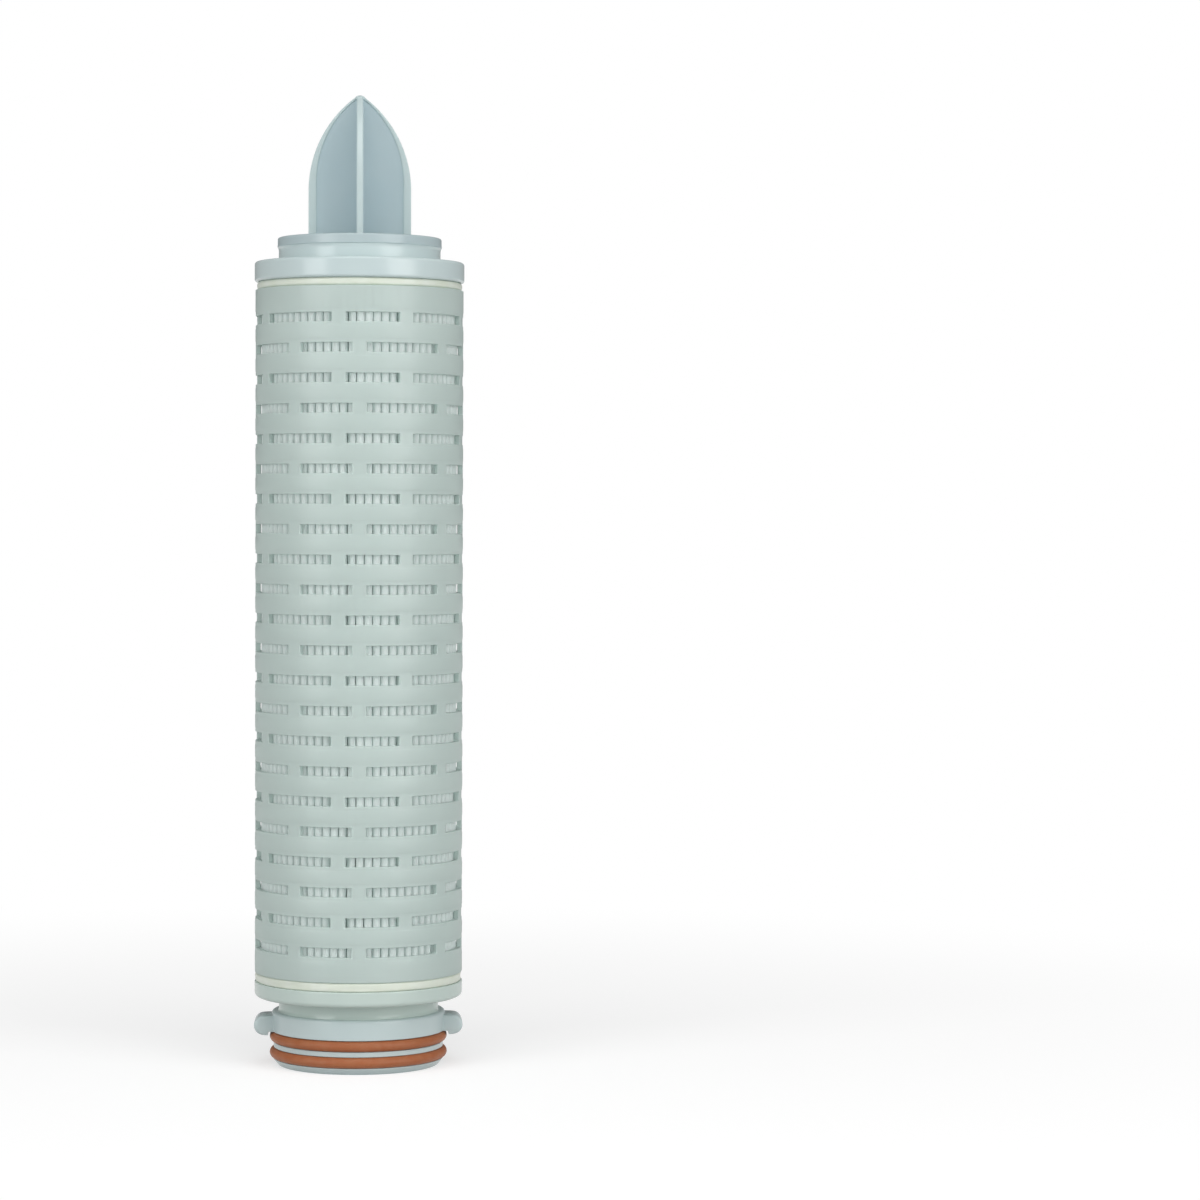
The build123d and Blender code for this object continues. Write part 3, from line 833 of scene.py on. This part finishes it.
def buildFin():
    discZ = topHigh.z / mm
    baseZ = discZ + fin["discHeight"]
    tipZ = finHigh.z / mm
    halfWidth, halfTip = fin["width"] / 2, fin["tipWidth"] / 2
    shoulderZ = baseZ + fin["shoulder"]
    endZ = tipZ - halfTip / 2
    rim, web = fin["rimThickness"] / 2, fin["webThickness"] / 2

    def reachAt(z):
        flare = max(0.0, fin["footFlare"] - max(0.0, z - baseZ))
        return outlineReach(z, halfWidth, shoulderZ, endZ, halfTip) + flare

    # The rim is widest along the straight sides and narrows towards the tip
    def webReachAt(z):
        rimWidth = fin["rimWidth"] - fin["rimNarrowing"] * max(0.0, z - shoulderZ)
        return outlineReach(z, halfWidth, shoulderZ, endZ, halfTip) - max(rimWidth, fin["tipRimWidth"])

    # Half thickness of a blade: thin web, then a filleted step up to the rim
    def halfThickness(x, z):
        edge = webReachAt(z)
        return web + (rim - web) * smoothStep(edge - fin["rimFillet"] / 2, edge + fin["rimFillet"] / 2, x)

    heights = [baseZ - 0.5, baseZ, baseZ + 0.2, baseZ + 0.4, baseZ + 0.6]
    z = baseZ + 1.5
    while z < endZ - 5:
        heights.append(z)
        z += 0.9
    while z < endZ:
        heights.append(z)
        z += 0.3
    heights += [endZ + share * halfTip / 2 for share in (0.0, 0.25, 0.45, 0.62, 0.76, 0.87, 0.95, 0.99)]

    edgeSteps, crossSteps = 6, 4
    rings = []
    for z in heights:
        reach = reachAt(z)
        cross = min(halfThickness(web + fin["crossFillet"], z), 0.75 * reach)
        fillet = min(fin["crossFillet"], 0.4 * (reach - cross))
        edge = min(fin["edgeRound"], 0.55 * cross, 0.5 * (reach - cross - fillet))
        wing = []
        for k in range(crossSteps + 1):
            a = math.radians(45 + 45 * k / crossSteps)
            wing.append((cross + fillet * (1 - math.cos(a)), cross + fillet * (1 - math.sin(a))))
        start, end = cross + fillet, reach - edge
        webEdge = min(max(webReachAt(z), start + 0.02), end - 0.02)
        stepHalf = min(fin["rimFillet"] / 2, (webEdge - start) * 0.9, (end - webEdge) * 0.9)
        stops = [(start, webEdge - stepHalf, 8), (webEdge - stepHalf, webEdge + stepHalf, 4)]
        stops += [(webEdge + stepHalf, end, 3)]
        for low, high, parts in stops:
            for k in range(1, parts + 1):
                x = low + (high - low) * k / parts
                wing.append((x, min(halfThickness(x, z), cross if reach < 2.5 * rim else rim)))
        thick = wing[-1][1]
        for k in range(1, edgeSteps + 1):
            a = math.pi / 2 * k / edgeSteps
            wing.append((end + edge * math.sin(a), thick - edge + edge * math.cos(a)))
        loop = []
        for c, s in ((1, 0), (0, 1), (-1, 0), (0, -1)):
            points = [(x, -t) for x, t in wing] + [(x, t) for x, t in reversed(wing[1:])]
            loop += [(x * c - t * s, x * s + t * c) for x, t in points]
        rings.append([(x * mm, y * mm, z * mm) for x, y in loop])
    n = len(rings[0])
    vertices = [p for ring in rings for p in ring]
    faces = []
    for row in range(len(rings) - 1):
        for k in range(n):
            a, b = row * n + k, row * n + (k + 1) % n
            faces.append((a, b, b + n, a + n))
    faces.append(tuple(reversed(range(n))))
    last = (len(rings) - 1) * n
    faces.append(tuple(last + k for k in range(n)))
    blades = newObject("fin_blades", vertices, faces, smoothAngle=50)

    radius = finHigh.x
    spigot, bore = fin["spigotRadius"] * mm, fin["spigotBore"] * mm
    depth = fin["spigotDepth"] * mm

    # The disc's lower edge melted a little during welding, most at the left
    def melted(angle, r, z):
        if r < radius - 1.0 * mm:
            return 0.0, 0.0
        low = bell(z, discZ * mm, 0.7 * mm)
        size = 0.12 + 0.25 * ringNoise(angle, 0, 20, 1, 3.1)
        return size * low * mm, 0.05 * size * low * mm

    corners = [
        (0, discZ * mm, 0),
        (bore, discZ * mm, 0),
        (bore, discZ * mm - depth, 0),
        (spigot, discZ * mm - depth, 0),
        (spigot, discZ * mm, 0),
        (radius, discZ * mm, 0.25 * mm),
        (radius, baseZ * mm, fin["discRound"] * mm),
        (0, baseZ * mm, 0),
    ]
    obj = turnedPiece("locating_fin_moulding", corners, columns=240, longest=0.8 * mm, closed=False, wobble=melted)
    joinSolid(obj, blades, smoothAngle=50)

    # How thick the moulding is at each point, from thin web to rim
    thick = obj.data.attributes.new("thick", "FLOAT", "POINT")
    for vertex in obj.data.vertices:
        x, y, z = vertex.co / mm
        away, edge = max(abs(x), abs(y)), webReachAt(z)
        rimShare = smoothStep(edge - fin["rimFillet"] / 2, edge + fin["rimFillet"] / 2, away)
        thick.data[vertex.index].value = rimShare if z > baseZ + 0.01 else fin["discThickness"]
    placePiece(obj, "locating_fin", finPlastic)
    print("fin made")


buildFin()


# Inner pieces keep their modelled solids

def finishNode(node, material):
    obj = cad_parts[node]
    obj.data.materials.clear()
    obj.data.materials.append(material)


finishNode("inner_core", capPlastic)
finishNode("support_ring", steel)
finishNode("filter_membrane", membrane)
finishNode("inner_support_fleece", fleece)
print("inner pieces finished")


# Floor, light and camera

studio = {
    "floorSize": 12.0, "floorAlbedo": 0.5, "floorGlow": 0.58, "fadeStart": 0.12, "fadeEnd": 0.5,
    "worldLight": 0.28,
    "lampDistance": 1.5,
}
# Soft boxes: turn from the front and rise in degrees, width and height in
# metres, and how bright each one looks
softBoxes = {
    "left soft box": (-49.0, 7.0, 0.69, 1.2, 3.8),
    "right soft box": (46.0, 7.0, 0.86, 1.2, 3.7),
    "top soft box": (0.0, 58.0, 1.3, 1.0, 2.6),
}


# Camera, glossy and transmission rays see a white background
def seenDirectly(tree):
    path = addNode(tree, "ShaderNodeLightPath")
    first = addNode(tree, "ShaderNodeMath", {"operation": "MAXIMUM"}, {
        0: path.outputs["Is Camera Ray"], 1: path.outputs["Is Glossy Ray"]})
    return addNode(tree, "ShaderNodeMath", {"operation": "MAXIMUM"}, {
        0: first.outputs["Value"], 1: path.outputs["Is Transmission Ray"]}).outputs["Value"]


def buildStudio():
    size = studio["floorSize"]
    vertices = [(x * size, y * size, 0) for x, y in ((-1, -1), (1, -1), (1, 1), (-1, 1))]
    mesh = bpy.data.meshes.new("floor")
    mesh.from_pydata(vertices, [], [(0, 1, 2, 3)])
    floor = bpy.data.objects.new("floor", mesh)
    bpy.context.scene.collection.objects.link(floor)
    material, tree = newMaterial("Paper backdrop, matt white")
    place = addNode(tree, "ShaderNodeTexCoord").outputs["Object"]
    away = addNode(tree, "ShaderNodeVectorMath", {"operation": "LENGTH"}, {0: place})
    fade = addNode(tree, "ShaderNodeMapRange", {
        "From Min": studio["fadeStart"], "From Max": studio["fadeEnd"], "interpolation_type": "SMOOTHSTEP",
    }, {"Value": away.outputs["Value"]})
    matt = addNode(tree, "ShaderNodeBsdfDiffuse", {"Color": (studio["floorAlbedo"],) * 3 + (1.0,)})
    glow = addNode(tree, "ShaderNodeEmission", {"Color": (1, 1, 1, 1), "Strength": studio["floorGlow"]})
    near = addNode(tree, "ShaderNodeAddShader", links={0: matt.outputs["BSDF"], 1: glow.outputs["Emission"]})
    white = addNode(tree, "ShaderNodeEmission", {"Color": (1, 1, 1, 1), "Strength": 1.0})
    seen = addNode(tree, "ShaderNodeMixShader", links={
        0: fade.outputs["Result"], 1: near.outputs["Shader"], 2: white.outputs["Emission"]})
    lit = addNode(tree, "ShaderNodeBsdfDiffuse", {"Color": (0.6, 0.6, 0.6, 1.0)})
    either = addNode(tree, "ShaderNodeMixShader", links={
        0: seenDirectly(tree), 1: lit.outputs["BSDF"], 2: seen.outputs["Shader"]})
    addNode(tree, "ShaderNodeOutputMaterial", links={"Surface": either.outputs["Shader"]})
    mesh.materials.append(material)

    world = bpy.data.worlds.new("Studio room")
    world.use_nodes = True
    tree = world.node_tree
    tree.nodes.clear()
    ambient = addNode(tree, "ShaderNodeBackground", {"Color": (1, 1, 1, 1), "Strength": studio["worldLight"]})
    white = addNode(tree, "ShaderNodeBackground", {"Color": (1, 1, 1, 1), "Strength": 1.0})
    path = addNode(tree, "ShaderNodeLightPath")
    mixed = addNode(tree, "ShaderNodeMixShader", links={
        0: path.outputs["Is Camera Ray"], 1: ambient.outputs["Background"], 2: white.outputs["Background"]})
    addNode(tree, "ShaderNodeOutputWorld", links={"Surface": mixed.outputs["Shader"]})
    bpy.context.scene.world = world

    aim = Vector((0, 0, 0.16))
    for name, (turn, rise, width, height, brightness) in softBoxes.items():
        light = bpy.data.lights.new(name, "AREA")
        light.shape = "RECTANGLE"
        light.size = width
        light.size_y = height
        light.energy = brightness * math.pi * width * height
        lamp = bpy.data.objects.new(name, light)
        t, e = math.radians(turn), math.radians(rise)
        side = Vector((math.sin(t) * math.cos(e), -math.cos(t) * math.cos(e), math.sin(e)))
        lamp.location = aim + side * studio["lampDistance"]
        lamp.rotation_euler = (-side).to_track_quat("-Z", "Y").to_euler()
        bpy.context.scene.collection.objects.link(lamp)
    # Light that falls between the pleats bounces many times before it is lost
    bpy.context.scene.cycles.max_bounces = 24
    bpy.context.scene.cycles.diffuse_bounces = 24


buildStudio()

photoCamera = {
    "distance": 1.206, "height": 0.1855, "aimX": 0.0804, "aimZ": 0.1548,
    "lens": 108.4, "sensor": 36.0, "roll": 0.2,
}


def buildCamera():
    data = bpy.data.cameras.new("camera")
    data.lens = photoCamera["lens"]
    data.sensor_width = photoCamera["sensor"]
    camera = bpy.data.objects.new("camera", data)
    camera.location = (0, -photoCamera["distance"], photoCamera["height"])
    aim = Vector((photoCamera["aimX"], 0, photoCamera["aimZ"]))
    look = (aim - camera.location).to_track_quat("-Z", "Y").to_matrix()
    roll = Matrix.Rotation(math.radians(photoCamera["roll"]), 3, "Z")
    camera.rotation_euler = (look @ roll).to_euler()
    bpy.context.scene.collection.objects.link(camera)
    bpy.context.scene.camera = camera


buildCamera()
bpy.context.scene.view_settings.view_transform = "Standard"
print("studio and camera set")
